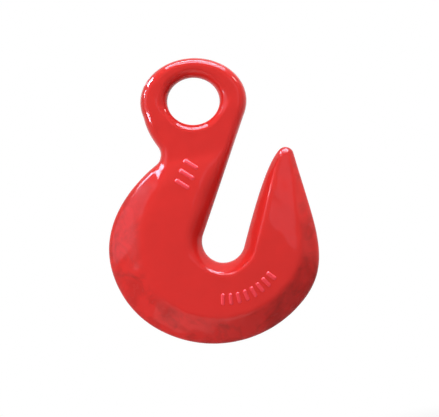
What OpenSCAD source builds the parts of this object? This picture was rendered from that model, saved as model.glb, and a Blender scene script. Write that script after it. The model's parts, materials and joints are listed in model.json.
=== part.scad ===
// Eye grab hook: one closed-die forging for a lifting chain.
// Frame: the centre of the eye is the origin, +Z runs up the load line from the middle of
// the slot's round end, +X points to the tip, and Y = 0 is the parting plane of the dies.

/* [Eye] */
// Width of the eye's hole along its long axis
eye_w = 22; // [19:0.5:25]
// Height of the eye's hole across its long axis
eye_h = 20; // [17:0.5:23]
// Slope of the hole's long axis
eye_turn = -9; // [-15:1:0]
// Wall of the eye at the ends of the long axis
wall_side = 11.3; // [9.5:0.1:13]
// Wall of the eye over the hole
wall_top = 8.2; // [7:0.1:10]

/* [Slot and throat] */
// Drop from the centre of the eye to the centre of the slot's round end
slot_drop = 60; // [55:0.5:68]
// Width of the slot, which takes a 13 mm chain link edgewise
slot_w = 18; // [15:0.5:20]
// Lean of the shank's straight edge from the load line
slot_lean = 31; // [28:0.5:34]

/* [Bowl] */
// Depth of the forging under the slot
bowl_w = 33.2; // [28:0.2:38]
// Radius of the round bottom of the bowl
bowl_r = 48; // [43:0.5:53]
// Distance of the bowl's centre from the load line, towards the heel
bowl_shift = 3; // [0:0.5:5]
// Width of the shank and heel beside the slot's round end
heel_w = 39.4; // [34:0.2:44]

/* [Tip] */
// Distance of the tip's round end from the slot's edge, across the load line
tip_reach = 24; // [21:0.5:27]
// Height of the tip's round end over the centre of the slot's round end
tip_rise = 29.8; // [26:0.2:33]
// Radius of the tip's round end, seen from the front
tip_r = 3.5; // [2.5:0.1:4.5]
// Lean of the tip's inner edge where it leaves the slot
tip_lean = 26.5; // [23:0.5:30]
// Lean that the inner edge has gained at the tip's round end
tip_curl = 27; // [18:1:34]
// Lean of the tip's outer edge towards the load line
tip_back = 4; // [0:0.5:8]

/* [Neck] */
// Radius of the notch between the eye and the shoulder
neck_r = 5.5; // [4:0.1:7]
// Distance of the notch's centre past the side of the eye
neck_out = 1.2; // [0:0.1:2.5]
// Height of the notch's centre over the bottom of the eye's ring
neck_up = 0.3; // [-1.5:0.1:1.5]

/* [Thickness] */
// Thickness of the eye's ring
eye_t = 12.6; // [11:0.2:15]
// Thickness between the flat cheeks of the body
body_t = 20; // [17:0.5:23]
// Thickness at the tip's round end
tip_t = 9; // [7.5:0.1:11]
// Height of the flat land that trimming the flash leaves all round
land_t = 1.6; // [1:0.1:2.4]

/* [Bevels] */
// Width of the rounding round the outside of the eye's ring
eye_bevel = 3.8; // [3:0.1:5]
// Width of the rounding round the eye's hole
hole_bevel = 5; // [4:0.1:5.5]
// Width of the rounding along the slot
slot_bevel = 4.7; // [3.5:0.1:6]
// Width of the rounding along the inner edge of the tip, halfway up
tip_slot_bevel = 3.9; // [3:0.1:5]
// Width of the drafted bevel along the back of the shank
shoulder_bevel = 7.6; // [6:0.2:12]
// Width of the drafted bevel at the heel
heel_bevel = 14.6; // [11:0.2:16]
// Width of the drafted bevel under the bowl
bowl_bevel = 11.8; // [9:0.2:14]
// Width of the drafted bevel on the back of the tip, halfway up
tip_bevel = 6.6; // [5:0.2:9]
// Nose radius of the outer edge
rim_nose = 2; // [1.2:0.1:2.4]
// Nose radius of the saddle that the chain link bears on
slot_nose = 3; // [2:0.1:4.8]

/* [Hidden] */

// Segments along the outline, each length of it on both sides of the hook
NECK_N = 3;
NAPE_N = 5;
RING_N = 36;
UPPER_N = 5;
SHOULDER_N = 15;
BELLY_N = 8;
BOWL_N = 18;
TIP_N = 20;
APEX_N = 10;
// Rows from edge to edge: along each edge, over the cheek, and round the eye
EDGE_ROWS = 6;
CHEEK_ROWS = 4;
EYE_ROWS = 10;

SPAN_ROWS = 2*EDGE_ROWS + CHEEK_ROWS;
SHANK_N = NECK_N + SHOULDER_N;
THROAT_N = BELLY_N + BOWL_N;

// Edge rows crowd towards the edge by this power and reach past the bevel by this share
CROWD = 1.7;
PAST = 1.25;
// Most of a narrow section's width that the rows of one edge take
EDGE_SHARE = 0.43;
// Fillet between bevel and cheek, as a height: round the eye, on the shank, the bowl and the tip
EYE_FILLET = 0.1;
SHANK_FILLET = 2;
BOWL_FILLET = 1.2;
TIP_FILLET = 0.6;
// Fillet along the crest of the eye's ring
CREST_FILLET = 0.4;
// Part of the shank's straight edge that belongs to the eye
SEAM_AT = 0.22;
// Share of the bowl's bevel in the bevel past the bowl, and of the tip's bevels at the round end
BOWL_HALFWAY = 0.7;
APEX_SHARE = 0.35;
// Share of the body's extra thickness that the shank has halfway down, and the tip halfway up
SHANK_HALFWAY = 0.7;
TIP_HALFWAY = 0.62;

// Places and directions that follow from the sizes
ring_a = eye_w/2 + wall_side;
ring_b = eye_h/2 + wall_top;
slot_r = slot_w/2;
slot_c = [0, -slot_drop];
heel = slot_c - [slot_r + heel_w, 0];
bowl_c = slot_c - [bowl_shift, slot_r + bowl_w - bowl_r];
tip_c = slot_c + [slot_r + tip_reach, tip_rise];
neck_c = [-ring_a - neck_out, neck_up - ring_b];
eye_height = (eye_t - land_t)/2;
eye_nose = eye_height*eye_height/eye_bevel;
hole_nose = eye_height*eye_height/hole_bevel;

shank_way = 270 - slot_lean;
tip_way = 90 - tip_lean;
apex_in_way = tip_way - tip_curl;
apex_out_way = 90 + tip_back;
neck_low = -63;
neck_mid = -19;
neck_high = 25;
nape_at = 196;
bowl_left = -133;
bowl_right = -50;
heel_way = 270;

// Pulls of the Bezier handles, as shares of the chord: at the start and at the end
STRAIGHT = [1/3, 1/3];
SHOULDER_PULL = [0.19, 0.45];
BELLY_PULL = [0.18, 0.48];
TIP_OUT_PULL = [0.33, 0.51];
TIP_IN_PULL = [0.47, 0.17];
NAPE_PULL = [0.62, 0.16];

function unit(way) = [cos(way), sin(way)];
function turned(p, way) = p.x*unit(way) + p.y*unit(way + 90);
function mix(a, b, f) = f == 1 ? b : a + (b - a)*f;
function tail(list, first) = [for (i = [first : len(list) - 1]) list[i]];
function flat(lists) = [for (list = lists) each list];

// Soft minimum: a fillet of height k/4 where both values meet, and exact where they are k apart
function soft_min(a, b, k) = min(a, b) - pow(max(k - abs(a - b), 0), 2)/(4*k);

function bezier_at(ends, ways, pull, t) =
    let (chord = norm(ends[1] - ends[0]),
         q0 = ends[0] + unit(ways[0])*chord*pull[0],
         q1 = ends[1] - unit(ways[1])*chord*pull[1],
         u = 1 - t)
    u*u*u*ends[0] + 3*u*u*t*q0 + 3*u*t*t*q1 + t*t*t*ends[1];
function bezier(ends, ways, pull, n, t0 = 0, t1 = 1) =
    [for (i = [0 : n]) bezier_at(ends, ways, pull, mix(t0, t1, i/n))];
function arc(centre, r, from, to, n) = [for (i = [0 : n]) centre + r*unit(mix(from, to, i/n))];
function oval_at(a, b, t) = turned([a*cos(t), b*sin(t)], eye_turn);

// The eye's ring is left where its outer oval runs along the shank
shank_turn = shank_way - eye_turn;
shank_at = atan2(cos(shank_turn)/ring_a, -sin(shank_turn)/ring_b);
nape_way = atan2(-ring_b*cos(nape_at), ring_a*sin(nape_at)) + eye_turn;

// Inner edge, from the eye to the tip
shank_ends = [oval_at(ring_a, ring_b, shank_at), slot_c + slot_r*unit(shank_way - 90)];
shank_ways = [shank_way, shank_way];
upper_edge = bezier(shank_ends, shank_ways, STRAIGHT, UPPER_N, 0, SEAM_AT);
lower_edge = bezier(shank_ends, shank_ways, STRAIGHT, SHANK_N, SEAM_AT, 1);
throat = arc(slot_c, slot_r, shank_way - 90, tip_way + 270, THROAT_N);
tip_in = bezier([throat[THROAT_N], tip_c + tip_r*unit(apex_in_way + 90)],
                [tip_way, apex_in_way], TIP_IN_PULL, TIP_N);
inner = concat(lower_edge, tail(throat, 1), tail(tip_in, 1));

// Outer edge, from the neck to the tip
neck_foot = arc(neck_c, neck_r, neck_mid, neck_low, NECK_N);
shoulder = bezier([neck_foot[NECK_N], heel], [neck_low - 90, heel_way], SHOULDER_PULL, SHOULDER_N);
bowl = arc(bowl_c, bowl_r, bowl_left, bowl_right, BOWL_N);
belly = bezier([heel, bowl[0]], [heel_way, bowl_left + 90], BELLY_PULL, BELLY_N);
tip_out = bezier([bowl[BOWL_N], tip_c + tip_r*unit(apex_out_way - 90)],
                 [bowl_right + 90, apex_out_way], TIP_OUT_PULL, TIP_N);
outer = concat(neck_foot, tail(shoulder, 1), tail(belly, 1), tail(bowl, 1), tail(tip_out, 1));

apex = arc(tip_c, tip_r, apex_in_way + 90, apex_out_way - 90, APEX_N);

// Edge of the eye's ring, clockwise from the neck to the foot of the upper shank edge
neck_top = arc(neck_c, neck_r, neck_mid, neck_high, NECK_N);
nape = bezier([neck_top[NECK_N], oval_at(ring_a, ring_b, nape_at)],
              [neck_high + 90, nape_way], NAPE_PULL, NAPE_N);
ring = [for (i = [0 : RING_N]) oval_at(ring_a, ring_b, mix(nape_at, shank_at, i/RING_N))];
crown = concat(neck_top, tail(nape, 1), tail(ring, 1), tail(upper_edge, 1));

// Values along the body: s is 0 at the eye, 1 at the slot, 2 past the bowl and 3 at the tip,
// and each list holds the value at every half step. The curve through them never overshoots
function slope_at(list, i) =
    i <= 0 || i >= len(list) - 1 ? 0
    : let (a = list[i] - list[i - 1], b = list[i + 1] - list[i]) a*b <= 0 ? 0 : 2*a*b/(a + b);
function along(list, s) =
    let (i = min(floor(2*s), len(list) - 2), f = 2*s - i, g = 1 - f)
    list[i]*g*g*(1 + 2*f) + list[i + 1]*f*f*(3 - 2*f)
        + slope_at(list, i)*f*g*g - slope_at(list, i + 1)*f*f*g;

thickness_by_s = [eye_t, mix(eye_t, body_t, SHANK_HALFWAY), body_t, body_t, body_t,
                  mix(tip_t, body_t, TIP_HALFWAY), tip_t];
outer_bevel_by_s = [eye_bevel, shoulder_bevel, heel_bevel, bowl_bevel,
                    mix(tip_bevel, bowl_bevel, BOWL_HALFWAY), tip_bevel, tip_bevel*APEX_SHARE];
inner_bevel_by_s = [eye_bevel, each [for (i = [1 : 4]) slot_bevel],
                    tip_slot_bevel, tip_slot_bevel*APEX_SHARE];
outer_nose_by_s = [eye_nose, each [for (i = [1 : 6]) rim_nose]];
inner_nose_by_s = [eye_nose, each [for (i = [1 : 5]) slot_nose], rim_nose];
fillet_by_s = [EYE_FILLET, SHANK_FILLET, SHANK_FILLET, BOWL_FILLET, BOWL_FILLET,
               TIP_FILLET, TIP_FILLET];

// Distance from a point to a polyline
function to_segment(p, a, b) =
    let (f = (p - a)*(b - a)/((b - a)*(b - a))) norm(p - mix(a, b, max(0, min(1, f))));
function to_path(p, path) = min([for (i = [1 : len(path) - 1]) to_segment(p, path[i - 1], path[i])]);

hole_path = [for (i = [0 : RING_N]) oval_at(eye_w/2, eye_h/2, 360*i/RING_N)];
inner_path = concat(upper_edge, tail(inner, 1));
outer_path = concat(apex, [for (i = [2 : len(outer)]) outer[len(outer) - i]],
                    tail(neck_top, 1), tail(nape, 1), tail(ring, 1));

// Height of an edge's bevel at distance d: a conic with a round nose that reaches the
// height h of the cheek at the width b. It is a quarter oval, level from there on, with the
// greatest nose, h*h/b
function bevel(d, b, nose, h) =
    let (n = min(nose, h*h/b), c = (h*h - 2*n*b)/(b*b), e = c < 0 ? min(d, -n/c) : d)
    sqrt(max(0, c*e*e + 2*n*e));

// Half the thickness of the forging at the point p, at the place s along the body
function half_at(p, s) =
    let (h = (along(thickness_by_s, s) - land_t)/2,
         k = along(fillet_by_s, s),
         back = bevel(to_path(p, outer_path), along(outer_bevel_by_s, s), along(outer_nose_by_s, s), h),
         front = bevel(to_path(p, inner_path), along(inner_bevel_by_s, s), along(inner_nose_by_s, s), h),
         hole = to_path(p, hole_path),
         eye = bevel(hole, hole_bevel, hole_nose, eye_height) + max(0, hole - hole_bevel))
    land_t/2 + soft_min(soft_min(min(back, front), eye, CREST_FILLET), h, k);

// Where a span's rows stand, as shares of its width w
function row_at(j, w, s) =
    let (a = min(PAST*along(inner_bevel_by_s, s)/w, EDGE_SHARE),
         b = min(PAST*along(outer_bevel_by_s, s)/w, EDGE_SHARE))
    j <= EDGE_ROWS ? a*pow(j/EDGE_ROWS, CROWD)
    : j >= EDGE_ROWS + CHEEK_ROWS ? 1 - b*pow((SPAN_ROWS - j)/EDGE_ROWS, CROWD)
    : mix(a, 1 - b, (j - EDGE_ROWS)/CHEEK_ROWS);

// A skin point is [x, half thickness, z]
function skin(p, s, rim = false) = [p.x, rim ? land_t/2 : half_at(p, s), p.y];

// The body is a ladder of straight spans from the inner edge to the outer edge
function stage_of(i) = i <= SHANK_N ? i/SHANK_N
    : i <= SHANK_N + THROAT_N ? 1 + (i - SHANK_N)/THROAT_N
    : 2 + (i - SHANK_N - THROAT_N)/TIP_N;
function span(i) = let (a = inner[i], b = outer[i], w = norm(b - a), s = stage_of(i))
    [for (j = [0 : SPAN_ROWS]) mix(a, b, row_at(j, w, s))];
spans = [for (i = [0 : len(inner) - 1]) span(i)];
body_skin = [for (i = [0 : len(spans) - 1])
    [for (j = [0 : SPAN_ROWS]) skin(spans[i][j], stage_of(i), j == 0 || j == SPAN_ROWS)]];

// The eye is a grid of rays from the hole to the crown, and to the body's first span
eye_rim = concat(crown, [for (j = [1 : SPAN_ROWS]) spans[0][j]]);
function hole_at(p) = let (q = turned(p, -eye_turn), t = atan2(q.y/eye_h, q.x/eye_w))
    oval_at(eye_w/2, eye_h/2, t);
function eye_row(j) = (1 - cos(180*j/EYE_ROWS))/2;
eye_skin = [for (i = [0 : len(eye_rim) - 1])
    let (a = hole_at(eye_rim[i]), b = eye_rim[i], k = i - len(crown) + 1)
    concat([for (j = [0 : EYE_ROWS - 1]) skin(mix(a, b, eye_row(j)), 0, j == 0)],
           [k > 0 && k < SPAN_ROWS ? body_skin[0][k] : skin(b, 0, true)])];

// The tip's round end is a fan of rays from the middle of the last span
tip_skin = let (middle = spans[len(spans) - 1][SPAN_ROWS/2], last = body_skin[len(spans) - 1])
    [for (i = [0 : APEX_N]) concat(
        [last[SPAN_ROWS/2]],
        [for (j = [1 : SPAN_ROWS/2])
            i == 0 ? last[SPAN_ROWS/2 - j]
            : i == APEX_N ? last[SPAN_ROWS/2 + j]
            : let (f = 1 - 2*row_at(SPAN_ROWS/2 - j, norm(apex[0] - apex[APEX_N]), 3))
              skin(mix(middle, apex[i], f), 3, j == SPAN_ROWS/2)])];

// The land that trimming leaves, from a row of edge points to the same row on the other half
function land(row) = [[for (p = row) [p.x, -p.y, p.z]], row];
function column(grid, j) = [for (row = grid) row[j]];
function mirrored(grid) = [for (row = grid) [for (p = row) [p.x, -p.y, p.z]]];

// Every grid of the surface, with true where its rows run so that the faces have to be flipped
crown_edge = [for (i = [0 : len(crown) - 1]) eye_skin[i][EYE_ROWS]];
grids = [
    [body_skin, true], [mirrored(body_skin), false],
    [eye_skin, false], [mirrored(eye_skin), true],
    [tip_skin, false], [mirrored(tip_skin), true],
    [land(column(body_skin, 0)), false],
    [land(column(body_skin, SPAN_ROWS)), true],
    [land(crown_edge), false],
    [land(column(eye_skin, 0)), true],
    [land(column(tip_skin, SPAN_ROWS/2)), false]
];
function size_of(grid) = len(grid)*len(grid[0]);
function first_of(k) = k == 0 ? 0 : first_of(k - 1) + size_of(grids[k - 1][0]);
function grid_faces(grid, first, flip) =
    let (cols = len(grid[0]))
    [for (i = [1 : len(grid) - 1], j = [1 : cols - 1])
        let (d = first + i*cols + j, a = d - cols - 1, b = d - cols, c = d - 1,
             halves = grid[i - 1][j - 1] == grid[i][j - 1] ? [[a, b, d]] : [[a, b, d], [a, d, c]])
        for (face = halves) flip ? face : [face[0], face[2], face[1]]];

module hook_forging() {
    color("crimson")
        polyhedron(points = [for (g = grids) each flat(g[0])],
                   faces = [for (k = [0 : len(grids) - 1])
                       each grid_faces(grids[k][0], first_of(k), grids[k][1])],
                   convexity = 6);
}

hook_forging();
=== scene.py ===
"""Eye grab hook: the looks of one closed-die forging in red gloss paint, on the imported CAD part.

Frame: metres; the centre of the eye is the origin, +Z runs up the load line, +X points to the
tip, and Y = 0 is the parting plane of the dies. The front cheek, which the camera sees, is at -Y.
Lengths inside the shape functions are millimetres, and mesh_piece turns them into metres.
"""

import json
import math

import bpy
import numpy as np
from bpy.props import FloatProperty, FloatVectorProperty, IntProperty, PointerProperty
from mathutils import Matrix, Vector
from mathutils.bvhtree import BVHTree

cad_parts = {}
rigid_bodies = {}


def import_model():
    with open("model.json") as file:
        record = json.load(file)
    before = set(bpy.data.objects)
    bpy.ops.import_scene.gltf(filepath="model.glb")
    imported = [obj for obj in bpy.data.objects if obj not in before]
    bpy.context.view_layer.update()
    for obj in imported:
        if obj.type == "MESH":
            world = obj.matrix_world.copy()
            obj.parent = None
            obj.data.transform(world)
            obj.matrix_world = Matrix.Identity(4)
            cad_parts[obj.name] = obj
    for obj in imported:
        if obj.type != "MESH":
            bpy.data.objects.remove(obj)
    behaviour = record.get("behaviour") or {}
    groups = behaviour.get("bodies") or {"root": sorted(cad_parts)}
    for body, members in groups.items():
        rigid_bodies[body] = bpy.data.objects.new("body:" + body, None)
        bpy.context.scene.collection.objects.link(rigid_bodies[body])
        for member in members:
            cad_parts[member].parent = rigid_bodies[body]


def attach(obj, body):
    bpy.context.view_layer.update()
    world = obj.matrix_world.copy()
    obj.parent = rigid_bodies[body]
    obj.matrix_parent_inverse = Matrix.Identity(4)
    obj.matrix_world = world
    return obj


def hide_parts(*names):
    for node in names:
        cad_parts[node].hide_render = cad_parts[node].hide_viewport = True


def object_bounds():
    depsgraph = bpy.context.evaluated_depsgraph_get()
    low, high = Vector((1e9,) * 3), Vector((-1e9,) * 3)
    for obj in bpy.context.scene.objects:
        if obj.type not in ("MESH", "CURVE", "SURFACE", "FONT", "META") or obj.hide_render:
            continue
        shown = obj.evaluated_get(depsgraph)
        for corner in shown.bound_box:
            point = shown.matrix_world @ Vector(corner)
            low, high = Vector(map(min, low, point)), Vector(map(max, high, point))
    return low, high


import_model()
CAD_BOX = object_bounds()

bl_info = {
    "name": "Eye grab hook",
    "version": (1, 0, 0),
    "blender": (4, 5, 0),
    "location": "View3D > Sidebar > Hook",
    "description": "Forged eye grab hook in red gloss paint, with its stage",
    "category": "Add Mesh",
}

MM = 0.001
NODE = "hook_forging"
FINISH = "red_paint"

# The photograph's frame, and the image points in it, in pixels
W, H = 439, 417
LONG = max(W, H)
IMAGE_POINTS = {
    "hook_left": (109.5, None),
    "hook_right": (319.5, None),
    "hook_top": (None, 57.3),
    "hook_bottom": (None, 342.4),
    "eye_hole_left": (166.7, None),
    "eye_hole_right": (220.5, None),
    "eye_hole_top": (None, 77.9),
    "eye_hole_bottom": (None, 125.4),
    "neck_notch": (161.5, 154.0),
    "throat_bottom": (None, 262.1),
    "tip_top": (285.3, 147.4),
    "bowl_bar_first": (223.0, 299.5),
    "bowl_bar_last": (271.5, 276.0),
    "shank_bar_first": (191.0, 164.5),
    "shank_bar_last": (182.5, 184.5),
}


# ---------------------------------------------------------------- sizes and colours

def length(name, mm, text):
    """A length that a user may change, given in millimetres."""
    return FloatProperty(name=name, description=text, default=mm*MM, min=0, precision=5,
                         subtype="DISTANCE", unit="LENGTH")


def angle(name, degrees, text):
    """An angle that a user may change, given in degrees."""
    return FloatProperty(name=name, description=text, default=math.radians(degrees),
                         subtype="ANGLE", unit="ROTATION")


def share(name, value, text):
    """A share of the whole, from 0 to 1, that a user may change."""
    return FloatProperty(name=name, description=text, default=value, min=0, max=1,
                         subtype="FACTOR")


def shade(name, value, text):
    """A linear colour that a user may change."""
    return FloatVectorProperty(name=name, description=text, default=value, size=3, min=0, max=1,
                               subtype="COLOR")


class HookForgingSizes(bpy.types.PropertyGroup):
    """Sizes of the forging: those of the part's source, and a few more for its finer skin."""
    eye_w: length("Eye width", 22, "Width of the eye's hole along its long axis")
    eye_h: length("Eye height", 20, "Height of the eye's hole across its long axis")
    eye_turn: angle("Eye turn", -9, "Slope of the hole's long axis")
    wall_side: length("Side wall", 11.3, "Wall of the eye at the ends of the long axis")
    wall_top: length("Top wall", 8.2, "Wall of the eye over the hole")
    slot_drop: length("Slot drop", 60, "Drop from the centre of the eye to the slot's round end")
    slot_w: length("Slot width", 18, "Width of the slot")
    slot_lean: angle("Slot lean", 31, "Lean of the shank's straight edge from the load line")
    bowl_w: length("Bowl depth", 33.2, "Depth of the forging under the slot")
    bowl_r: length("Bowl radius", 48, "Radius of the round bottom of the bowl")
    bowl_shift: length("Bowl shift", 3, "Distance of the bowl's centre from the load line")
    heel_w: length("Heel width", 39.4, "Width of the shank and heel beside the slot")
    tip_reach: length("Tip reach", 24, "Distance of the tip's round end from the slot's edge")
    tip_rise: length("Tip rise", 29.8, "Height of the tip's round end over the slot's round end")
    tip_r: length("Tip radius", 3.5, "Radius of the tip's round end")
    tip_lean: angle("Tip lean", 26.5, "Lean of the tip's inner edge where it leaves the slot")
    tip_curl: angle("Tip curl", 27, "Lean that the inner edge gains up to the tip")
    tip_back: angle("Tip back", 4, "Lean of the tip's outer edge towards the load line")
    neck_r: length("Neck radius", 5.5, "Radius of the notch between eye and shoulder")
    neck_out: length("Neck out", 1.2, "Distance of the notch's centre past the eye's side")
    neck_up: length("Neck up", 0.3, "Height of the notch's centre over the eye's bottom")
    eye_t: length("Eye thickness", 12.6, "Thickness of the eye's ring")
    body_t: length("Body thickness", 20, "Thickness between the flat cheeks")
    tip_t: length("Tip thickness", 9, "Thickness at the tip's round end")
    land_t: length("Land height", 1.6, "Height of the land that trimming the flash leaves")
    eye_bevel: length("Eye rounding", 3.8, "Width of the rounding round the outside of the ring")
    hole_bevel: length("Hole rounding", 5, "Width of the rounding round the eye's hole")
    foot_bevel: length("Hole's foot bevel", 2.5,
                       "Width of the hole's broken edge where the ring meets the shank")
    slot_bevel: length("Slot rounding", 4.7, "Width of the rounding along the slot")
    tip_slot_bevel: length("Tip slot rounding", 3.9,
                           "Width of the rounding along the inner edge of the tip, halfway up")
    shoulder_bevel: length("Shoulder bevel", 7.6, "Width of the bevel along the shank's back")
    heel_bevel: length("Heel bevel", 14.6, "Width of the bevel at the heel")
    bowl_bevel: length("Bowl bevel", 11.8, "Width of the bevel under the bowl")
    tip_bevel: length("Tip bevel", 6.6, "Width of the bevel on the back of the tip, halfway up")
    rim_nose: length("Rim nose", 2, "Nose radius of the outer edge")
    slot_nose: length("Saddle nose", 3, "Nose radius of the saddle that the chain bears on")
    relief: length("Cheek relief", 0.38, "How far the front cheek lies under its raised bars")
    ledge: length("Trim ledge", 0.06, "How far the trimmed land stands proud of the bevels")
    dents: length("Forged dents", 0.36, "Depth of the unevenness of the drafted bevels")
    cheek_dents: length("Cheek dents", 0.03, "Depth of the unevenness of the flat cheeks")


class HookBarSizes(bpy.types.PropertyGroup):
    """Sizes of the plain raised bars that stand where the real forging has its marks."""
    bowl_count: IntProperty(name="Bowl bars", description="Bars in the row under the slot",
                            default=8, min=2, max=20)
    bowl_long: length("Bowl bar length", 5.4, "Length of each bar under the slot")
    shank_count: IntProperty(name="Shank bars", description="Bars in the row on the shank",
                             default=3, min=2, max=6)
    shank_long: length("Shank bar length", 7.4, "Length of each bar on the shank")
    shank_slope: angle("Shank bar slope", -44, "Slope of the bars on the shank")
    wide: length("Bar width", 2.2, "Width of a bar at the cheek")
    proud: length("Bar relief", 0.38, "Height of a bar over the cheek")


class HookPaint(bpy.types.PropertyGroup):
    """The red gloss paint."""
    colour: shade("Paint", (0.76, 0.028, 0.024), "Colour of the paint")
    # This colour is thin paint in the clouds, and painted shade where it darkens the drafted
    # bevels
    thin_paint_and_shade: shade("Thin paint", (0.40, 0.022, 0.019), "Colour where the paint lies thinner")
    specular: share("Specular level", 0.14, "Strength of the paint's mirror where seen head on")
    peel: length("Orange peel", 0.004, "Height of the paint's fine unevenness")
    pits: length("Forged grain", 0.03, "Height of the forged grain under the paint")


class HookStage(bpy.types.PropertyGroup):
    """Floor, lamps and camera."""
    floor_drop: length("Floor drop", 250, "Distance of the floor under the eye")
    floor: shade("Floor", (0.80, 0.80, 0.80), "Colour of the floor")
    ambient: share("Ambient light", 0.15, "Brightness of the soft light from all round")
    lens: FloatProperty(name="Lens", description="Focal length in millimetres", default=135,
                        min=20, max=300)
    width: length("View width", 184.38, "Width that the camera sees at the parting plane")
    roll: angle("Roll", -12.164, "Lean of the load line in the photograph")
    aim_x: FloatProperty(name="Aim X", description="Aim point, X", default=1.255*MM,
                         subtype="DISTANCE", unit="LENGTH", precision=5)
    aim_z: FloatProperty(name="Aim Z", description="Aim point, Z", default=-46.2*MM,
                         subtype="DISTANCE", unit="LENGTH", precision=5)


# ---------------------------------------------------------------- curves and heights

# Shortest and longest sine of an uneven field as shares of its wavelength, and the usual height
# of its tops before it is scaled
WAVE_SPREAD, WAVE_TOP = (0.7, 1.4), 1.4
# Points whose distances to a polyline are worked out at once
POINTS_AT_ONCE = 2000


def unit(way):
    """The direction at way degrees: its cosine and its sine."""
    return np.stack([np.cos(np.radians(way)), np.sin(np.radians(way))], -1)


def turned(p, way):
    """Points turned round the origin by way degrees."""
    return p[..., :1]*unit(way) + p[..., 1:]*unit(way + 90)


def mix(a, b, f):
    """Between a and b at the share f."""
    return a + (b - a)*f


def smooth(f):
    """0 below 0 and 1 above 1, with level ends: 3 f squared less 2 f cubed."""
    f = np.clip(f, 0, 1)
    return f*f*(3 - 2*f)


def soft_min(a, b, k):
    """The smaller of a and b, less a fillet: the square of k - |a - b| over 4 k, where it is
    positive."""
    return np.minimum(a, b) - np.maximum(k - np.abs(a - b), 0)**2/(4*k)


def bezier(ends, ways, pull, n, start=0.0, stop=1.0):
    """Cubic Bezier curve, with handles along the two ways, each a share of the chord long."""
    a, b = np.asarray(ends[0]), np.asarray(ends[1])
    chord = np.linalg.norm(b - a)
    p, q = a + unit(ways[0])*chord*pull[0], b - unit(ways[1])*chord*pull[1]
    t = np.linspace(start, stop, n + 1)[:, None]
    u = 1 - t
    return u**3*a + 3*u*u*t*p + 3*u*t*t*q + t**3*b


def arc(centre, r, start, stop, n):
    """Circle arc: the centre plus r times the direction, from one way to another."""
    return np.asarray(centre) + r*unit(np.linspace(start, stop, n + 1))


def along(values, s):
    """Smooth curve through a value at each half step of s: a cubic whose slope at each value is
    the harmonic mean of the two neighbouring steps, so that it never overshoots."""
    v = np.asarray(values, float)
    i = np.minimum(np.floor(2*s).astype(int), len(v) - 2)
    f = 2*s - i
    g = 1 - f
    a, b = np.diff(v)[:-1], np.diff(v)[1:]
    inside = np.where(a*b > 0, 2*a*b/np.where(a + b == 0, 1, a + b), 0)
    slope = np.concatenate([[0], inside, [0]])
    return (v[i]*g*g*(1 + 2*f) + v[i + 1]*f*f*(3 - 2*f)
            + slope[i]*f*g*g - slope[i + 1]*f*f*g)


def to_path(p, path):
    """Distance from each point to a polyline: the least of the distances to its segments."""
    a, ab = path[:-1], np.diff(path, axis=0)
    flat = p.reshape(-1, 2)

    def least(q):
        """Least distance of each of some points."""
        q = q[:, None]
        f = np.clip(((q - a)*ab).sum(-1)/(ab*ab).sum(-1), 0, 1)
        return np.linalg.norm(a + f[..., None]*ab - q, axis=-1).min(1)

    parts = np.array_split(flat, 1 + len(flat)//POINTS_AT_ONCE)
    return np.concatenate([least(q) for q in parts]).reshape(p.shape[:-1])


def waves(p, long, seed, layers=7):
    """Uneven field between about -1 and 1: the sum of sines in seeded ways, each with a
    wavelength near long, over the square root of their number and WAVE_TOP."""
    chance = np.random.default_rng(seed)
    ways, phases = chance.uniform(0, 360, layers), chance.uniform(0, 2*np.pi, layers)
    lengths = long*chance.uniform(*WAVE_SPREAD, layers)
    at = (p[..., None, :]*unit(ways)).sum(-1)
    return np.sin(2*np.pi*at/lengths + phases).sum(-1)/math.sqrt(layers)/WAVE_TOP


# ---------------------------------------------------------------- the forging's outline

# Segments along the outline, and rows from edge to edge
NECK_N, NAPE_N, RING_N, UPPER_N = 12, 20, 148, 20
SHOULDER_N, BELLY_N, BOWL_N, TIP_N, APEX_N = 60, 32, 72, 80, 40
EDGE_ROWS, CHEEK_ROWS, EYE_ROWS = 20, 12, 36
SPAN_ROWS = 2*EDGE_ROWS + CHEEK_ROWS
SHANK_N, THROAT_N = NECK_N + SHOULDER_N, BELLY_N + BOWL_N

# Power with which rows crowd towards an edge, how many bevels wide they spread, and the greatest
# share of a span that they take
CROWD, PAST, EDGE_SHARE = 1.7, 1.25, 0.43

# Fillets between the cheek and the outer bevel, at the eye, shank, bowl and tip
EYE_FILLET, SHANK_FILLET, BOWL_FILLET, TIP_FILLET = 0.1, 2.0, 1.2, 0.6
# Fillets between the cheek and the inner bevel, along the slot, the throat and the tip
SLOT_FILLET, THROAT_FILLET, CREASE = 5.0, 2.0, 1.4
# Fillets along the crest of the eye's ring, and where the front cheek is lowered
CREST_FILLET, RELIEF_FILLET = 0.4, 0.4

# The hole's broken edge: its slope and nose radius, and where it starts and how soon it is
# whole, as shares of the hole's height
FOOT_SLOPE, FOOT_NOSE, FOOT_START, FOOT_RUN = 1.08, 0.8, 0.15, 0.5

# Depths under the cheek and under the inner bevel at which the outer bevel counts as drafted,
# in millimetres, and how soon it does past the eye
DRAFT_CHEEK, DRAFT_INNER, DRAFT_START = 1.6, 2, 1.2
# Distances from the outline where the dents start, and over which they reach their depth
DENT_START, DENT_RUN = 1, 3
# Shares of the dents' depth that are even, in the wide dents and in the small ones
DENTS_EVEN, IN_WIDE, IN_SMALL = 0.5, 0.3, 0.2
# Wavelength and seed of the wide and small dents, of the cheek's and of the land's waves
DENTS_WIDE, DENTS_SMALL, CHEEK_WAVES, LAND_WAVES = (11, 5), (5.5, 6), (16, 7), (9, 3)
# Share of its height by which the land waves
LAND_WAVE = 0.14

# Shares of the way at which a bevel and the thicknesses stand between their named places
BOWL_HALFWAY, SHANK_HALFWAY, TIP_HALFWAY = 0.7, 0.7, 0.62
# Share of the tip's bevels that is left at its round end
APEX_SHARE = 0.35
# Share of the shank's edge that belongs to the eye's ring
SEAM_AT = 0.22
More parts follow.
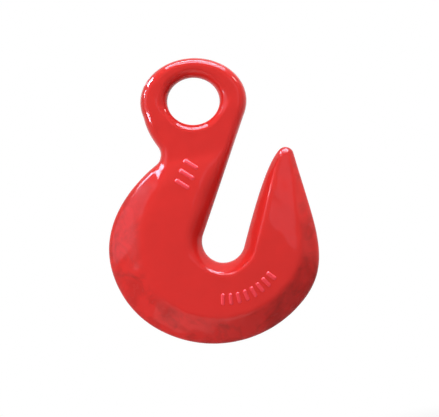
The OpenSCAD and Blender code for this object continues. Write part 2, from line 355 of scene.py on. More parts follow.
# Ways from the notch's centre to its ends and middle, and where the nape ends on the ring's oval;
# ways from the bowl's centre to its ends, and of the outline at the heel, in degrees
NECK_LOW, NECK_MID, NECK_HIGH, NAPE_AT = -63, -19, 25, 196
BOWL_LEFT, BOWL_RIGHT, HEEL_WAY = -133, -50, 270
# Handles of the outline's curves, as shares of their chords
STRAIGHT, SHOULDER_PULL, BELLY_PULL = (1/3, 1/3), (0.19, 0.45), (0.18, 0.48)
TIP_OUT_PULL, TIP_IN_PULL, NAPE_PULL = (0.33, 0.51), (0.47, 0.17), (0.62, 0.16)
# Sizes that are angles
ANGLES = ("eye_turn", "slot_lean", "tip_lean", "tip_curl", "tip_back")


class Outline:
    """The forging seen from the front, with every curve where the part's source has it, and
    its half thickness at any point."""

    def __init__(self, sizes):
        for name in HookForgingSizes.__annotations__:
            value = getattr(sizes, name)
            setattr(self, name, math.degrees(value) if name in ANGLES else value/MM)
        self.ring_a = self.eye_w/2 + self.wall_side
        self.ring_b = self.eye_h/2 + self.wall_top
        slot_r = self.slot_w/2
        self.slot_c = np.array([0.0, -self.slot_drop])
        heel = self.slot_c - [slot_r + self.heel_w, 0]
        bowl_c = self.slot_c - [self.bowl_shift, slot_r + self.bowl_w - self.bowl_r]
        tip_c = self.slot_c + [slot_r + self.tip_reach, self.tip_rise]
        neck_c = np.array([-self.ring_a - self.neck_out, self.neck_up - self.ring_b])
        shank_way = 270 - self.slot_lean
        tip_way = 90 - self.tip_lean
        in_way, out_way = tip_way - self.tip_curl, 90 + self.tip_back
        lean = math.radians(shank_way - self.eye_turn)
        shank_at = math.degrees(
            math.atan2(math.cos(lean)/self.ring_a, -math.sin(lean)/self.ring_b))
        nape = math.radians(NAPE_AT)
        nape_way = self.eye_turn + math.degrees(
            math.atan2(-self.ring_b*math.cos(nape), self.ring_a*math.sin(nape)))

        # Inner edge, from the eye to the tip
        ends = [self.oval(self.ring_a, self.ring_b, shank_at),
                self.slot_c + slot_r*unit(shank_way - 90)]
        ways = [shank_way, shank_way]
        upper = bezier(ends, ways, STRAIGHT, UPPER_N, 0, SEAM_AT)
        lower = bezier(ends, ways, STRAIGHT, SHANK_N, SEAM_AT, 1)
        throat = arc(self.slot_c, slot_r, shank_way - 90, tip_way + 270, THROAT_N)
        tip_in = bezier([throat[-1], tip_c + self.tip_r*unit(in_way + 90)],
                        [tip_way, in_way], TIP_IN_PULL, TIP_N)
        self.throat = throat
        self.inner = np.concatenate([lower, throat[1:], tip_in[1:]])

        # Outer edge, from the neck to the tip
        foot = arc(neck_c, self.neck_r, NECK_MID, NECK_LOW, NECK_N)
        shoulder = bezier([foot[-1], heel], [NECK_LOW - 90, HEEL_WAY], SHOULDER_PULL, SHOULDER_N)
        bowl = arc(bowl_c, self.bowl_r, BOWL_LEFT, BOWL_RIGHT, BOWL_N)
        belly = bezier([heel, bowl[0]], [HEEL_WAY, BOWL_LEFT + 90], BELLY_PULL, BELLY_N)
        tip_out = bezier([bowl[-1], tip_c + self.tip_r*unit(out_way - 90)],
                         [BOWL_RIGHT + 90, out_way], TIP_OUT_PULL, TIP_N)
        self.outer = np.concatenate([foot, shoulder[1:], belly[1:], bowl[1:], tip_out[1:]])
        self.apex = arc(tip_c, self.tip_r, in_way + 90, out_way - 90, APEX_N)

        # Edge of the eye's ring, clockwise from the neck to the foot of the upper shank edge
        top = arc(neck_c, self.neck_r, NECK_MID, NECK_HIGH, NECK_N)
        nape = bezier([top[-1], self.oval(self.ring_a, self.ring_b, NAPE_AT)],
                      [NECK_HIGH + 90, nape_way], NAPE_PULL, NAPE_N)
        ring = self.oval(self.ring_a, self.ring_b, np.linspace(NAPE_AT, shank_at, RING_N + 1))
        self.neck = np.concatenate([top[::-1], foot[1:]])
        self.crown = np.concatenate([top, nape[1:], ring[1:], upper[1:]])
        self.hole = self.oval(self.eye_w/2, self.eye_h/2, np.linspace(0, 360, RING_N + 1))
        self.inner_path = np.concatenate([upper, self.inner[1:]])
        self.outer_path = np.concatenate([self.apex, self.outer[-2::-1],
                                          top[1:], nape[1:], ring[1:]])

        # Values at each half step of s: 0 at the eye, 1 at the slot, 2 past the bowl, 3 at the tip
        self.eye_height = (self.eye_t - self.land_t)/2
        self.eye_nose = self.eye_height**2/self.eye_bevel
        self.thickness = [self.eye_t, mix(self.eye_t, self.body_t, SHANK_HALFWAY),
                          self.body_t, self.body_t, self.body_t,
                          mix(self.tip_t, self.body_t, TIP_HALFWAY), self.tip_t]
        self.outer_bevel = [self.eye_bevel, self.shoulder_bevel, self.heel_bevel, self.bowl_bevel,
                            mix(self.tip_bevel, self.bowl_bevel, BOWL_HALFWAY), self.tip_bevel,
                            self.tip_bevel*APEX_SHARE]
        self.inner_bevel = [self.eye_bevel, *[self.slot_bevel]*4,
                            self.tip_slot_bevel, self.tip_slot_bevel*APEX_SHARE]
        self.outer_noses = [self.eye_nose, *[self.rim_nose]*6]
        self.inner_noses = [self.eye_nose, *[self.slot_nose]*5, self.rim_nose]
        self.outer_fillets = [EYE_FILLET, *[SHANK_FILLET]*2, *[BOWL_FILLET]*2, *[TIP_FILLET]*2]
        self.inner_fillets = [EYE_FILLET, *[SLOT_FILLET]*2, *[THROAT_FILLET]*2, *[CREASE]*2]

    def oval(self, a, b, t):
        """Point of an ellipse with half axes a and b, turned as the eye is."""
        t = np.radians(t)
        return turned(np.stack([a*np.cos(t), b*np.sin(t)], -1), self.eye_turn)

    def hole_at(self, p):
        """Where the way from the eye's centre to p leaves the hole, on its ellipse's parameter."""
        q = turned(p, -self.eye_turn)
        t = np.degrees(np.arctan2(q[..., 1]/self.eye_h, q[..., 0]/self.eye_w))
        return self.oval(self.eye_w/2, self.eye_h/2, t)

    def land(self, p):
        """Half the height of the trimmed land, which waves a little along the outline."""
        return self.land_t/2*(1 + LAND_WAVE*waves(p, *LAND_WAVES))

    def hole_wall(self, p):
        """Height of the hole's straight wall over the land, and the width and nose of the rounding
        over it: the ring is a full quarter oval at its top, and towards the shank the wall is
        straight and its edge only broken."""
        up = turned(p, -self.eye_turn)[..., 1]/self.eye_h
        foot = smooth((FOOT_START - up)/FOOT_RUN)
        wide = mix(self.hole_bevel, self.foot_bevel, foot)
        rise = foot*(self.eye_height - FOOT_SLOPE*self.foot_bevel)
        return rise, wide, mix((self.eye_height - rise)**2/wide, FOOT_NOSE, foot)

    def bevel(self, d, wide, nose, height):
        """Height of an edge's bevel at distance d past the ledge: the square root of a conic with
        a round nose, which reaches the cheek's height at the bevel's width. It is a chamfer with a
        small nose and a quarter oval, level from there on, with the greatest."""
        d = np.maximum(d - self.ledge, 0)
        nose = np.minimum(nose, height**2/wide)
        c = (height**2 - 2*nose*wide)/wide**2
        d = np.where(c < 0, np.minimum(d, nose/np.maximum(-c, 1e-9)), d)
        return np.sqrt(np.maximum(c*d*d + 2*nose*d, 0))

    def half(self, p, s):
        """Half thickness at p: the land plus the least of the outer bevel, the inner bevel, the
        eye's bevel and the cheek, with fillets at the cheek and the eye, less the forged dents.
        Also the share of drafted bevel."""
        cheek = (along(self.thickness, s) - self.land_t)/2
        out = to_path(p, self.outer_path)
        into = to_path(p, self.inner_path)
        back = self.bevel(out, along(self.outer_bevel, s), along(self.outer_noses, s), cheek)
        front = self.bevel(into, along(self.inner_bevel, s), along(self.inner_noses, s), cheek)
        hole = to_path(p, self.hole)
        rise, wide, nose = self.hole_wall(p)
        eye = (rise + self.bevel(hole, wide, nose, self.eye_height - rise)
               + np.maximum(hole - wide - self.ledge, 0))
        height = np.minimum(soft_min(back, cheek, along(self.outer_fillets, s)),
                            soft_min(front, cheek, along(self.inner_fillets, s)))
        height = soft_min(height, eye, CREST_FILLET)
        drafted = (smooth((cheek - back)/DRAFT_CHEEK)*smooth((front - back)/DRAFT_INNER)
                   * smooth(s*DRAFT_START))
        deep = self.dents*drafted*(DENTS_EVEN + IN_WIDE*waves(p, *DENTS_WIDE)
                                   + IN_SMALL*waves(p, *DENTS_SMALL))
        deep = (deep*smooth((out - DENT_START)/DENT_RUN)
                + self.cheek_dents*(0.5 + 0.5*waves(p, *CHEEK_WAVES)))
        land = self.land(p)
        return land + np.maximum(height - np.maximum(deep, 0), 0), drafted


def rows_of(hook, w, s):
    """Shares of a span's width at which its rows stand: the edge, the ledge, then rows that crowd
    towards the edge by a power, and even rows over the cheek."""
    w, s = w[:, None], s[:, None]
    a = np.minimum(PAST*along(hook.inner_bevel, s)/w, EDGE_SHARE)
    b = np.minimum(PAST*along(hook.outer_bevel, s)/w, EDGE_SHARE)
    step = np.arange(EDGE_ROWS)/(EDGE_ROWS - 1)
    left = np.concatenate([0*w, mix(hook.ledge/w, a, step**CROWD)], 1)
    right = 1 - np.concatenate([0*w, mix(hook.ledge/w, b, step**CROWD)], 1)[:, ::-1]
    middle = mix(left[:, -1:], right[:, :1], np.arange(1, CHEEK_ROWS)/CHEEK_ROWS)
    return np.concatenate([left, middle, right], 1)


def skin(hook, p, s, rims=()):
    """Surface points (x, half thickness, z) and the share of drafted bevel, for a grid of points
    p. The columns in rims lie on the land's edge or its ledge."""
    half, drafted = hook.half(p, np.broadcast_to(s, p.shape[:-1]).astype(float))
    land = hook.land(p)
    for j in rims:
        half[:, j] = land[:, j]
    return np.stack([p[..., 0], half, p[..., 1], drafted], -1)


def forging_grids(hook):
    """Every grid of the forging's surface, each with True where its faces are turned over: the
    body is a ladder of straight spans from the inner to the outer edge, the eye is a grid of rays
    from the hole to the crown and to the first span, the tip is a fan from the last span, and
    lands join the back half to the front half, its mirror image but for the lowered cheek."""
    n = len(hook.inner)
    i = np.arange(n)
    s = np.where(i <= SHANK_N, i/SHANK_N, np.where(i <= SHANK_N + THROAT_N,
                 1 + (i - SHANK_N)/THROAT_N, 2 + (i - SHANK_N - THROAT_N)/TIP_N))
    wide = np.linalg.norm(hook.outer - hook.inner, axis=1)
    rows = rows_of(hook, wide, s)[..., None]
    spans = mix(hook.inner[:, None], hook.outer[:, None], rows)
    body = skin(hook, spans, s[:, None], (0, 1, -2, -1))
    front = body.copy()
    front[..., 1] = soft_min(body[..., 1], hook.body_t/2 - hook.relief, RELIEF_FILLET)

    # The eye's rows crowd towards the hole and towards the rim
    rim = np.concatenate([hook.crown, spans[0, 1:]])
    steps = (1 - np.cos(np.pi*np.arange(EYE_ROWS)/(EYE_ROWS - 1)))/2
    start, stop = hook.hole_at(rim)[:, None], rim[:, None]
    reach = np.linalg.norm(stop - start, axis=-1, keepdims=True)
    f = np.concatenate([0*reach, mix(hook.ledge/reach, 1 - hook.ledge/reach, steps[None, :, None]),
                        0*reach + 1], 1)
    eye = skin(hook, mix(start, stop, f), 0.0, (0, 1))
    eye[:, :2, 1] += hook.hole_wall(eye[:, :2, [0, 2]])[0]
    crown_n = len(hook.crown)
    eye[:crown_n, -2:, 1] = hook.land(eye[:crown_n, -2:, [0, 2]])
    eye[crown_n - 1:, -1] = body[0]

    # The tip's fan starts at the middle of the last span
    mid = SPAN_ROWS//2
    middle, last = spans[-1, mid], body[-1]
    f = 1 - 2*rows_of(hook, wide[-1:], s[-1:])[0, mid::-1]
    tip = skin(hook, mix(middle, hook.apex[:, None], f[:, None]), 3.0, (-2, -1))
    tip[0], tip[-1], tip[:, 0] = last[mid::-1], last[mid:], last[mid]

    def mirrored(grid):
        """The same grid on the front half, at -Y."""
        return grid*[1, -1, 1, 1]

    def strip(row):
        """The land between a row and its mirror image."""
        return np.stack([mirrored(row), row], 0)

    return [
        (mirrored(front), True), (body, False), (eye, True), (mirrored(eye), False),
        (tip, True), (mirrored(tip), False),
        (strip(body[:, 0]), True), (strip(body[:, -1]), False), (strip(eye[:crown_n, -1]), True),
        (strip(eye[:, 0]), False), (strip(tip[:, -1]), True),
    ]


# ---------------------------------------------------------------- meshes

# Decimal places, in millimetres, to which two points have to agree to be made one
SAME_PLACES = 5


def mesh_piece(name, grids):
    """One closed mesh out of grids of points in millimetres, with equal points made one and all
    of them held inside the CAD part's box. A grid's cell is a quad, or a triangle where two of
    its corners are one. A fourth number in the points becomes the attribute drafted."""
    points = np.concatenate([g.reshape(-1, g.shape[-1]) for g, _ in grids])
    low, high = (np.array(c)/MM for c in CAD_BOX)
    points[:, :3] = np.clip(points[:, :3], low, high)
    keys, first, joined = np.unique(np.round(points[:, :3], SAME_PLACES), axis=0,
                                    return_index=True, return_inverse=True)
    joined = joined.reshape(-1)
    quads, start = [], 0
    for g, flip in grids:
        rows, cols = g.shape[:2]
        at = start + np.arange(rows*cols).reshape(rows, cols)
        a, b, d, c = at[:-1, :-1], at[:-1, 1:], at[1:, 1:], at[1:, :-1]
        quads.append(np.stack([a, b, d, c] if flip else [a, c, d, b], -1).reshape(-1, 4))
        start += rows*cols
    faces = joined[np.concatenate(quads)]
    same = faces == np.roll(faces, -1, axis=1)
    whole = faces[same.sum(1) == 0]
    halves = faces[same.sum(1) == 1]
    keep = ~same[same.sum(1) == 1]
    threes = halves[keep].reshape(-1, 3)
    mesh = bpy.data.meshes.new(name)
    mesh.from_pydata((keys*MM).tolist(), [], whole.tolist() + threes.tolist())
    mesh.polygons.foreach_set("use_smooth", np.ones(len(mesh.polygons), bool))
    if points.shape[1] > 3:
        mesh.attributes.new("drafted", "FLOAT", "POINT").data.foreach_set(
            "value", points[first, 3].astype(np.float32))
    mesh.validate()
    mesh.update()
    piece = bpy.data.objects.new(name, mesh)
    bpy.context.scene.collection.objects.link(piece)
    return piece


# Points along and across a bar, how deep its underside lies in the cheek in millimetres, and the
# share of its half width that is level on top
BAR_LONG_N, BAR_WIDE_N, BAR_SUNK, BAR_LEVEL = 49, 25, 0.12, 0.3


def bar_grids(centre, way, long, wide, proud, facing):
    """A plain raised bar as a closed pebble with round ends. far is the distance from the bar's
    middle line over its half width. The top is level up to BAR_LEVEL and falls from there as
    1 less smooth, to under the cheek at the bar's edge. The underside is flat and sunk. facing
    is the cheek's outward normal."""
    u, v = np.meshgrid(np.linspace(-1, 1, BAR_LONG_N), np.linspace(-1, 1, BAR_WIDE_N),
                       indexing="ij")
    straight = (long - wide)/2
    x = u*long/2
    past = np.maximum(np.abs(x) - straight, 0)
    y = v*wide/2*np.sqrt(np.maximum(0, 1 - (past/(wide/2))**2))
    far = np.sqrt(past**2 + y*y)/(wide/2)
    lift = (proud + BAR_SUNK)*(1 - smooth((far - BAR_LEVEL)/(1 - BAR_LEVEL))) - BAR_SUNK
    facing = np.asarray(facing, float)
    right = np.array([unit(way)[0], 0, unit(way)[1]])
    right = right - facing*(right @ facing)
    right /= np.linalg.norm(right)
    across = np.cross(facing, right)
    flat = np.asarray(centre) + x[..., None]*right + y[..., None]*across
    return [(flat + lift[..., None]*facing, False), (flat - BAR_SUNK*facing, True)]


# ---------------------------------------------------------------- paint

# Widths of the paint's clouds, darker patches, veins, dull spots, grain and peel, in millimetres
CLOUD_MM, PATCH_MM, VEIN_MM, DULL_MM, GRAIN_MM, PEEL_MM = 9, 10, 24, 3, 1.7, 0.9
# Levels of their noise between which clouds, worn patches and dull spots come in
CLOUD_LEVELS, PATCH_LEVELS, DULL_LEVELS = (0.35, 0.8), (0.45, 0.58), (0.3, 0.75)
# Greatest share of thin paint in the clouds, and of darker paint in the patches and veins
# of the drafted bevels, partly random wear and partly painted shade
CLOUD_THIN, PATCH_THIN_AND_SHADE, VEIN_THIN_AND_SHADE = 0.12, 0.38, 0.28
# Half width of a vein, in levels of its noise
VEIN_WIDE = 0.045
# Least and greatest roughness of the paint, and what a darker patch adds
GLOSSY, DULL, PATCH_DULL = 0.08, 0.14, 0.16


def paint_material(look):
    """Red gloss paint over a forged skin: thinner and darker in soft clouds, finely uneven like
    orange peel all over, and on the drafted bevels darker patches and veins, partly random wear
    and partly painted shade, with the forged grain showing."""
    m = bpy.data.materials.new(FINISH)
    m.use_nodes = True
    nodes, links = m.node_tree.nodes, m.node_tree.links
    shader = nodes["Principled BSDF"]
    place = nodes.new("ShaderNodeTexCoord").outputs["Object"]

    def noise(size_mm, detail, rough=0.5, distortion=0.0):
        """Soft noise whose clouds are about size_mm wide."""
        n = nodes.new("ShaderNodeTexNoise")
        n.inputs["Scale"].default_value = 1/(size_mm*MM)
        n.inputs["Detail"].default_value = detail
        n.inputs["Roughness"].default_value = rough
        n.inputs["Distortion"].default_value = distortion
        links.new(place, n.inputs["Vector"])
        return n.outputs["Fac"]

    def ranged(value, low, high, to_low, to_high):
        """value, spread from low..high over to_low..to_high, and held at the ends."""
        n = nodes.new("ShaderNodeMapRange")
        for socket, number in zip(n.inputs[1:5], (low, high, to_low, to_high)):
            socket.default_value = number
        links.new(value, n.inputs["Value"])
        return n.outputs["Result"]

    def joined(a, b, kind="MULTIPLY"):
        """The two values times each other, or joined by another operation."""
        n = nodes.new("ShaderNodeMath")
        n.operation = kind
        for socket, value in zip(n.inputs, (a, b)):
            if isinstance(value, (int, float)):
                socket.default_value = value
            else:
                links.new(value, socket)
        return n.outputs[0]

    drafted = nodes.new("ShaderNodeAttribute")
    drafted.attribute_name = "drafted"
    drafted = drafted.outputs["Fac"]
    clouds = noise(CLOUD_MM, detail=3, rough=0.55, distortion=0.4)
    patches = noise(PATCH_MM, detail=5, rough=0.6, distortion=0.5)
    patches = joined(ranged(patches, *PATCH_LEVELS, 0, 1), drafted)
    off = joined(noise(VEIN_MM, detail=3, distortion=0.5), 0.5, "SUBTRACT")
    off = joined(off, 0, "ABSOLUTE")
    veins = joined(ranged(off, 0, VEIN_WIDE, 1, 0), drafted)
    # Patches and veins darken the drafted bevels: partly random wear, partly painted shade
    wear_and_shade = joined(joined(patches, PATCH_THIN_AND_SHADE), joined(veins, VEIN_THIN_AND_SHADE), "ADD")
    thin_paint_and_shade = joined(ranged(clouds, *CLOUD_LEVELS, 0, CLOUD_THIN), wear_and_shade, "ADD")
    colour = nodes.new("ShaderNodeMix")
    colour.data_type = "RGBA"
    colour.inputs["A"].default_value = (*look.colour, 1)
    colour.inputs["B"].default_value = (*look.thin_paint_and_shade, 1)
    links.new(thin_paint_and_shade, colour.inputs["Factor"])
    links.new(colour.outputs["Result"], shader.inputs["Base Color"])
    dull = joined(ranged(noise(DULL_MM, detail=3), *DULL_LEVELS, GLOSSY, DULL),
                  joined(patches, PATCH_DULL), "ADD")
    links.new(dull, shader.inputs["Roughness"])
    shader.inputs["Specular IOR Level"].default_value = look.specular

    grain = joined(noise(GRAIN_MM, detail=4, rough=0.6), joined(drafted, look.pits))
    peel = joined(noise(PEEL_MM, detail=2, rough=0.4), look.peel)
    bump = nodes.new("ShaderNodeBump")
    bump.inputs["Strength"].default_value = 1
    bump.inputs["Distance"].default_value = 1
    links.new(joined(grain, peel, "ADD"), bump.inputs["Height"])
    links.new(bump.outputs["Normal"], shader.inputs["Normal"])
    return m


# ---------------------------------------------------------------- camera and image points

# Distance in millimetres up to which a vertex counts as lying on a curve of the outline
ON_CURVE = 0.05


def camera_ray(camera, x, y):
    """Start and direction, in the row frame, of the ray through the image point x, y."""
    c = camera.data
    ray = Vector((x - W/2 + c.shift_x*LONG, H/2 - y + c.shift_y*LONG,
                  -LONG*c.lens/c.sensor_width))
    return camera.matrix_world.translation, (camera.matrix_world.to_3x3() @ ray).normalized()


def on_surface(camera, carrier, x, y):
    """Point, in millimetres, and outward normal where the ray through an image point meets the
    carrier as finished, or of the place nearest to the ray where it misses."""
    mesh = carrier.data
    tree = BVHTree.FromPolygons([v.co for v in mesh.vertices], [p.vertices for p in mesh.polygons])
    start, way = camera_ray(camera, x, y)
    place, normal, _, _ = tree.ray_cast(start, way)
    if place is None:
        co = np.array([v.co for v in mesh.vertices])
        off = co - np.array(start)
        off -= (off @ np.array(way))[:, None]*np.array(way)
        place, normal, _, _ = tree.find_nearest(Vector(co[(off*off).sum(1).argmin()]))
    return np.array(place)/MM, np.array(normal)


def in_image(camera, points):
    """Where points of the row frame, in metres, show in the photograph's frame."""
    c = camera.data
    turn = np.array(camera.matrix_world.inverted())
    p = np.asarray(points) @ turn[:3, :3].T + turn[:3, 3]
    scale = LONG*c.lens/c.sensor_width/-p[:, 2]
    return np.stack([W/2 - c.shift_x*LONG + p[:, 0]*scale,
                     H/2 + c.shift_y*LONG - p[:, 1]*scale], -1)


def corners(piece):
    """A piece's vertices in the row frame."""
    co = np.empty(len(piece.data.vertices)*3, np.float32)
    piece.data.vertices.foreach_get("co", co)
    return co.reshape(-1, 3).astype(float)


def near_outline(camera, forging, curve):
    """Image places of the forging's vertices that lie on a curve of its outline."""
    co = corners(forging)
    close = to_path(co[:, [0, 2]]/MM, curve) < ON_CURVE
    return in_image(camera, co[close])


def write_points(hook):
    camera = bpy.context.scene.camera
    forging = bpy.data.objects["hook_forging_painted"]
    seen = in_image(camera, corners(forging))
    hole = near_outline(camera, forging, hook.hole)
    neck = near_outline(camera, forging, hook.neck)
    tip = near_outline(camera, forging, hook.apex)
    throat = near_outline(camera, forging, hook.throat)
    found = {
        "hook_left": (seen[:, 0].min(), None), "hook_right": (seen[:, 0].max(), None),
        "hook_top": (None, seen[:, 1].min()), "hook_bottom": (None, seen[:, 1].max()),
        "eye_hole_left": (hole[:, 0].min(), None), "eye_hole_right": (hole[:, 0].max(), None),
        "eye_hole_top": (None, hole[:, 1].min()), "eye_hole_bottom": (None, hole[:, 1].max()),
        "neck_notch": neck[neck[:, 0].argmax()], "throat_bottom": (None, throat[:, 1].max()),
        "tip_top": tip[tip[:, 1].argmin()],
    }
    for piece in bpy.data.objects:
        if "image_point" in piece:
            for name, centre in zip(piece["image_point"], piece["image_place"]):
                found[name] = in_image(camera, [np.array(centre)])[0]


# ---------------------------------------------------------------- operators

# Radius and sides of the round floor in metres, its roughness, and the distances from its middle
# between which it fades to white
FLOOR_R, FLOOR_SIDES, FLOOR_ROUGH, FADE_FROM, FADE_TO = 3, 128, 0.9, 0.35, 0.8

PLAIN, COOL = (1, 1, 1), (0.66, 0.78, 1.0)
# Each lamp's name; the way round the view and the way off the view axis, in degrees; distance
# from the aim point, width and height, in metres; brightness; colour; and what it reaches
LAMPS = (
    ("front", 110, 38, 0.38, 0.25, 0.25, 2.15, PLAIN, "diffuse"),
    ("left_mid", 180, 50, 0.6, 0.30, 0.30, 4.6, PLAIN, "diffuse"),
    ("top", 75, 75, 0.6, 0.58, 0.30, 5.1, PLAIN, "diffuse"),
    ("left", 190, 83, 0.6, 0.50, 0.25, 2.1, PLAIN, "diffuse"),
    ("low", -97, 58, 0.21, 0.20, 0.12, 1.4, PLAIN, "both"),
    ("right", 16, 90, 0.12, 0.08, 0.03, 4.4, PLAIN, "diffuse"),
    ("back", 100, 168, 0.6, 0.30, 0.30, 2.0, PLAIN, "diffuse"),
    ("left_sheen", 168, 68, 0.6, 0.50, 0.42, 3.1, COOL, "gloss"),
    ("tip_sheen", 42, 26, 0.96, 0.26, 0.50, 1.7, COOL, "gloss"),
    ("top_back", 90, 103, 0.6, 0.66, 0.09, 60, COOL, "gloss"),
    ("top_strip", 90, 78, 0.6, 0.62, 0.16, 37, COOL, "gloss"),
    ("ring_glint", 131, 92, 0.121, 0.022, 0.036, 65, COOL, "gloss"),
    ("left_glint", 144, 77, 0.060, 0.005, 0.010, 70, COOL, "gloss"),
    ("right_glint", 62, 83, 0.109, 0.014, 0.014, 45, PLAIN, "gloss"),
    ("shoulder_glint", 146, 88.5, 0.121, 0.018, 0.012, 75, COOL, "gloss"),
)


class HookAddCamera(bpy.types.Operator):
    """Put the camera where the photograph was taken from"""
    bl_idname = "hook.add_camera"
    bl_label = "Camera"

    def execute(self, context):
        stage = context.scene.hook_stage
        data = bpy.data.cameras.new("camera")
        data.sensor_fit = "AUTO"
        data.sensor_width = 36
        data.lens = stage.lens
        # The distance at which the view is as wide as the stage says
        far = stage.lens*stage.width/data.sensor_width
        camera = bpy.data.objects.new("camera", data)
        context.scene.collection.objects.link(camera)
        right = Vector((math.cos(stage.roll), 0, math.sin(stage.roll)))
        up = Vector((-math.sin(stage.roll), 0, math.cos(stage.roll)))
        turn = Matrix((right, up, Vector((0, -1, 0)))).transposed()
        camera.matrix_world = (Matrix.Translation((stage.aim_x, -far, stage.aim_z))
                               @ turn.to_4x4())
        context.scene.camera = camera
        context.view_layer.update()
        return {"FINISHED"}


class HookAddForging(bpy.types.Operator):
    """Make the painted forging in the place of the plain one"""
    bl_idname = "hook.add_forging"
    bl_label = "Forging"

    def execute(self, context):
        hook = Outline(context.scene.hook_sizes)
        forging = mesh_piece("hook_forging_painted", forging_grids(hook))
        forging.data.materials.append(paint_material(context.scene.hook_paint))
        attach(forging, "root")
        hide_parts(NODE)
        return {"FINISHED"}


class HookAddBars(bpy.types.Operator):
    """Raise the plain bars on the front cheek, under the slot and on the shank"""
    bl_idname = "hook.add_bars"
    bl_label = "Raised bars"

    def execute(self, context):
        bars = context.scene.hook_bars
        camera, carrier = context.scene.camera, bpy.data.objects.get("hook_forging_painted")
        if carrier is None or camera is None:
            raise RuntimeError("the forging and the camera come before the raised bars")
        slot_c = Outline(context.scene.hook_sizes).slot_c
        wide, proud = bars.wide/MM, bars.proud/MM

        def row_of(row, count):
            """Places and normals of the cheek at even steps between a row's two image points."""
            first, last = (np.array(IMAGE_POINTS[f"{row}_bar_{end}"]) for end in ("first", "last"))
            found = [on_surface(camera, carrier, *mix(first, last, f))
                     for f in np.linspace(0, 1, count)]
            return [np.array(part) for part in zip(*found)]

        def add(name, row, places, ways, long, normals):
            """One piece out of the bars of a row, with its two image points noted on it."""
            grids = [g for p, way, n in zip(places, ways, normals)
                     for g in bar_grids(p, way, long, wide, proud, n)]
            piece = mesh_piece(name, grids)
            piece.data.materials.append(bpy.data.materials[FINISH])
            piece["image_point"] = [f"{row}_bar_first", f"{row}_bar_last"]
            piece["image_place"] = [(places[0]*MM).tolist(), (places[-1]*MM).tolist()]
            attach(piece, "root")

        # Under the slot the bars stand round its centre, between the first and the last
        (first, last), (facing, _) = row_of("bowl", 2)
        ends = [p[[0, 2]] - slot_c for p in (first, last)]
        spread = [np.degrees(np.arctan2(p[1], p[0])) for p in ends]
        r = [np.hypot(p[1], p[0]) for p in ends]
        ways = np.linspace(*spread, bars.bowl_count)
        out = slot_c + np.linspace(*r, bars.bowl_count)[:, None]*unit(ways)
        places = np.stack([out[:, 0], np.full(len(out), first[1]), out[:, 1]], -1)
        add("raised_bars_bowl", "bowl", places, ways, bars.bowl_long/MM, [facing]*len(out))

        places, normals = row_of("shank", bars.shank_count)
        ways = np.full(len(places), math.degrees(bars.shank_slope))
        add("raised_bars_shank", "shank", places, ways, bars.shank_long/MM, normals)
        return {"FINISHED"}


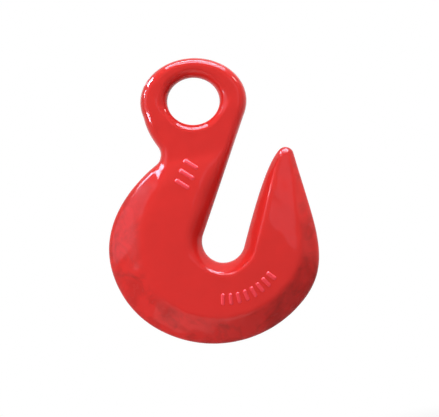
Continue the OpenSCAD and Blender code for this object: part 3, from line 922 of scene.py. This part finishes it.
class HookAddStage(bpy.types.Operator):
    """Lay the pale floor and hang the soft lamps"""
    bl_idname = "hook.add_stage"
    bl_label = "Stage"

    def execute(self, context):
        stage, scene = context.scene.hook_stage, context.scene
        self.floor(scene, stage)
        self.world(scene, stage)
        aim = Vector((stage.aim_x, 0, stage.aim_z))
        turn = scene.camera.matrix_world.to_3x3()
        for name, round_view, off, far, wide, high, bright, colour, reach in LAMPS:
            a, b = math.radians(round_view), math.radians(off)
            way = turn @ Vector((math.sin(b)*math.cos(a), math.sin(b)*math.sin(a), math.cos(b)))
            data = bpy.data.lights.new(name, "AREA")
            data.shape, data.size, data.size_y = "RECTANGLE", wide, high
            data.energy = bright*math.pi*wide*high
            data.color = colour
            lamp = bpy.data.objects.new(name, data)
            scene.collection.objects.link(lamp)
            side = turn @ Vector((-math.sin(a), math.cos(a), 0))
            lamp.matrix_world = (Matrix.Translation(aim + way*far)
                                 @ Matrix((side, way.cross(side), way)).transposed().to_4x4())
            lamp.visible_camera = False
            lamp.visible_diffuse = reach != "gloss"
            lamp.visible_glossy = reach != "diffuse"
        return {"FINISHED"}

    def floor(self, scene, stage):
        """A pale round floor that keeps the hook's shadow near its middle and fades to white."""
        rim = FLOOR_R*unit(np.linspace(0, 360, FLOOR_SIDES + 1)[:-1])
        mesh = bpy.data.meshes.new("floor")
        mesh.from_pydata([(x, y, -stage.floor_drop) for x, y in rim], [], [list(range(len(rim)))])
        floor = bpy.data.objects.new("floor", mesh)
        scene.collection.objects.link(floor)
        m = bpy.data.materials.new("pale_floor")
        m.use_nodes = True
        nodes, links = m.node_tree.nodes, m.node_tree.links
        shader, out = nodes["Principled BSDF"], nodes["Material Output"]
        shader.inputs["Base Color"].default_value = (*stage.floor, 1)
        shader.inputs["Roughness"].default_value = FLOOR_ROUGH
        white = nodes.new("ShaderNodeEmission")
        white.inputs["Color"].default_value = (1, 1, 1, 1)
        far = nodes.new("ShaderNodeVectorMath")
        far.operation = "LENGTH"
        links.new(nodes.new("ShaderNodeTexCoord").outputs["Object"], far.inputs[0])
        fade = nodes.new("ShaderNodeMapRange")
        fade.interpolation_type = "SMOOTHSTEP"
        fade.inputs["From Min"].default_value = FADE_FROM
        fade.inputs["From Max"].default_value = FADE_TO
        links.new(far.outputs["Value"], fade.inputs["Value"])
        far_seen = nodes.new("ShaderNodeMath")
        far_seen.operation = "MULTIPLY"
        links.new(fade.outputs["Result"], far_seen.inputs[0])
        links.new(self.seen(nodes, links), far_seen.inputs[1])
        both = nodes.new("ShaderNodeMixShader")
        links.new(far_seen.outputs[0], both.inputs["Fac"])
        links.new(shader.outputs[0], both.inputs[1])
        links.new(white.outputs[0], both.inputs[2])
        links.new(both.outputs[0], out.inputs["Surface"])
        mesh.materials.append(m)
        floor.visible_diffuse = False

    def seen(self, nodes, links):
        """1 for a ray from the camera, a gloss or a clear piece, 0 for the light on the hook."""
        path = nodes.new("ShaderNodeLightPath")
        seen = path.outputs["Is Camera Ray"]
        for ray in ("Is Glossy Ray", "Is Transmission Ray"):
            either = nodes.new("ShaderNodeMath")
            either.operation = "MAXIMUM"
            links.new(seen, either.inputs[0])
            links.new(path.outputs[ray], either.inputs[1])
            seen = either.outputs[0]
        return seen

    def world(self, scene, stage):
        """White where the camera and the gloss look, and soft light from all round otherwise."""
        world = bpy.data.worlds.new("studio")
        scene.world = world
        world.use_nodes = True
        nodes, links = world.node_tree.nodes, world.node_tree.links
        soft, out = nodes["Background"], nodes["World Output"]
        white = nodes.new("ShaderNodeBackground")
        white.inputs["Color"].default_value = (1, 1, 1, 1)
        white.inputs["Strength"].default_value = 1
        soft.inputs["Strength"].default_value = stage.ambient
        soft.inputs["Color"].default_value = (1, 1, 1, 1)
        both = nodes.new("ShaderNodeMixShader")
        links.new(self.seen(nodes, links), both.inputs["Fac"])
        links.new(soft.outputs[0], both.inputs[1])
        links.new(white.outputs[0], both.inputs[2])
        links.new(both.outputs[0], out.inputs["Surface"])


class HookPanel(bpy.types.Panel):
    """The hook's pieces and sizes"""
    bl_idname = "VIEW3D_PT_hook"
    bl_label = "Eye grab hook"
    bl_space_type = "VIEW_3D"
    bl_region_type = "UI"
    bl_category = "Hook"

    def draw(self, context):
        for operator in (HookAddCamera, HookAddForging, HookAddBars, HookAddStage):
            self.layout.operator(operator.bl_idname)
        for group in ("hook_sizes", "hook_bars", "hook_paint", "hook_stage"):
            settings = getattr(context.scene, group)
            box = self.layout.box()
            for name in settings.__annotations__:
                box.prop(settings, name)


CLASSES = (HookForgingSizes, HookBarSizes, HookPaint, HookStage, HookAddCamera, HookAddForging,
           HookAddBars, HookAddStage, HookPanel)


def register():
    for kind in CLASSES:
        bpy.utils.register_class(kind)
    bpy.types.Scene.hook_sizes = PointerProperty(type=HookForgingSizes)
    bpy.types.Scene.hook_bars = PointerProperty(type=HookBarSizes)
    bpy.types.Scene.hook_paint = PointerProperty(type=HookPaint)
    bpy.types.Scene.hook_stage = PointerProperty(type=HookStage)


def unregister():
    for name in ("hook_sizes", "hook_bars", "hook_paint", "hook_stage"):
        delattr(bpy.types.Scene, name)
    for kind in reversed(CLASSES):
        bpy.utils.unregister_class(kind)


def main():
    """Make everything in order."""
    register()
    bpy.context.scene.view_settings.view_transform = "Standard"
    bpy.ops.hook.add_camera()
    bpy.ops.hook.add_forging()
    bpy.ops.hook.add_bars()
    bpy.ops.hook.add_stage()
    bpy.context.view_layer.update()
    write_points(Outline(bpy.context.scene.hook_sizes))


if __name__ == "__main__":
    main()
